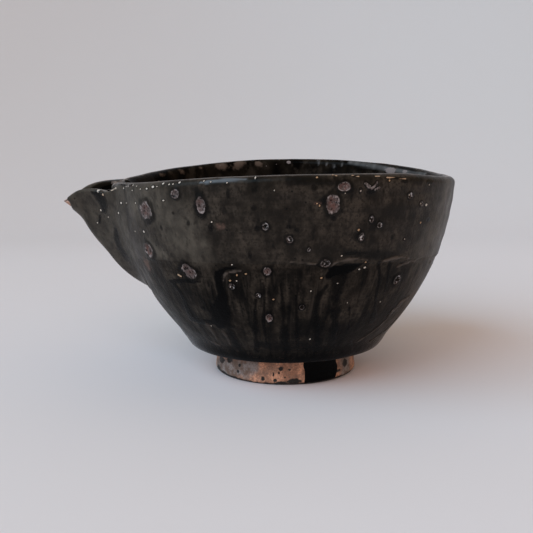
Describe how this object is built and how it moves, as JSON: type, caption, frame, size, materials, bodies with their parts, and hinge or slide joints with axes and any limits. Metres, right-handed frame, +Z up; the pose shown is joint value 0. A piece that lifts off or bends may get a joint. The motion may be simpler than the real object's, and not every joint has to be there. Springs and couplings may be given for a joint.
{
  "type": "katakuchi sake pourer",
  "caption": "Footed stoneware pouring bowl with a beak-shaped spout, a saddle-shaped rim and a dark run iron glaze, for serving sake.",
  "frame": {"origin": "centre of the foot ring's flat underside, on the bowl's axis", "axes": "+Z up along the bowl's axis, the spout points along -X, and -Y is the side that the picture shows"},
  "size_m": [0.1573, 0.1354, 0.0835],
  "materials": {
    "clay": "bare fired stoneware, orange-brown with grey and black flashes",
    "slip": "bare fired slip",
    "upper_glaze": "dark iron glaze, soft gloss, with pale blister scars",
    "lower_glaze": "dark iron glaze with brown streaks and glossy black runs"
  },
  "bodies": {
    "root": {"bowl_wall": "clay", "foot_ring": "clay", "foot_lute": "slip", "spout": "clay", "spout_lute": "slip", "inner_glaze": "upper_glaze", "upper_glaze": "upper_glaze", "lower_glaze": "lower_glaze", "spout_glaze": "upper_glaze", "channel_glaze": "upper_glaze", "foot_glaze_run": "lower_glaze"}
  },
  "joints": []
}
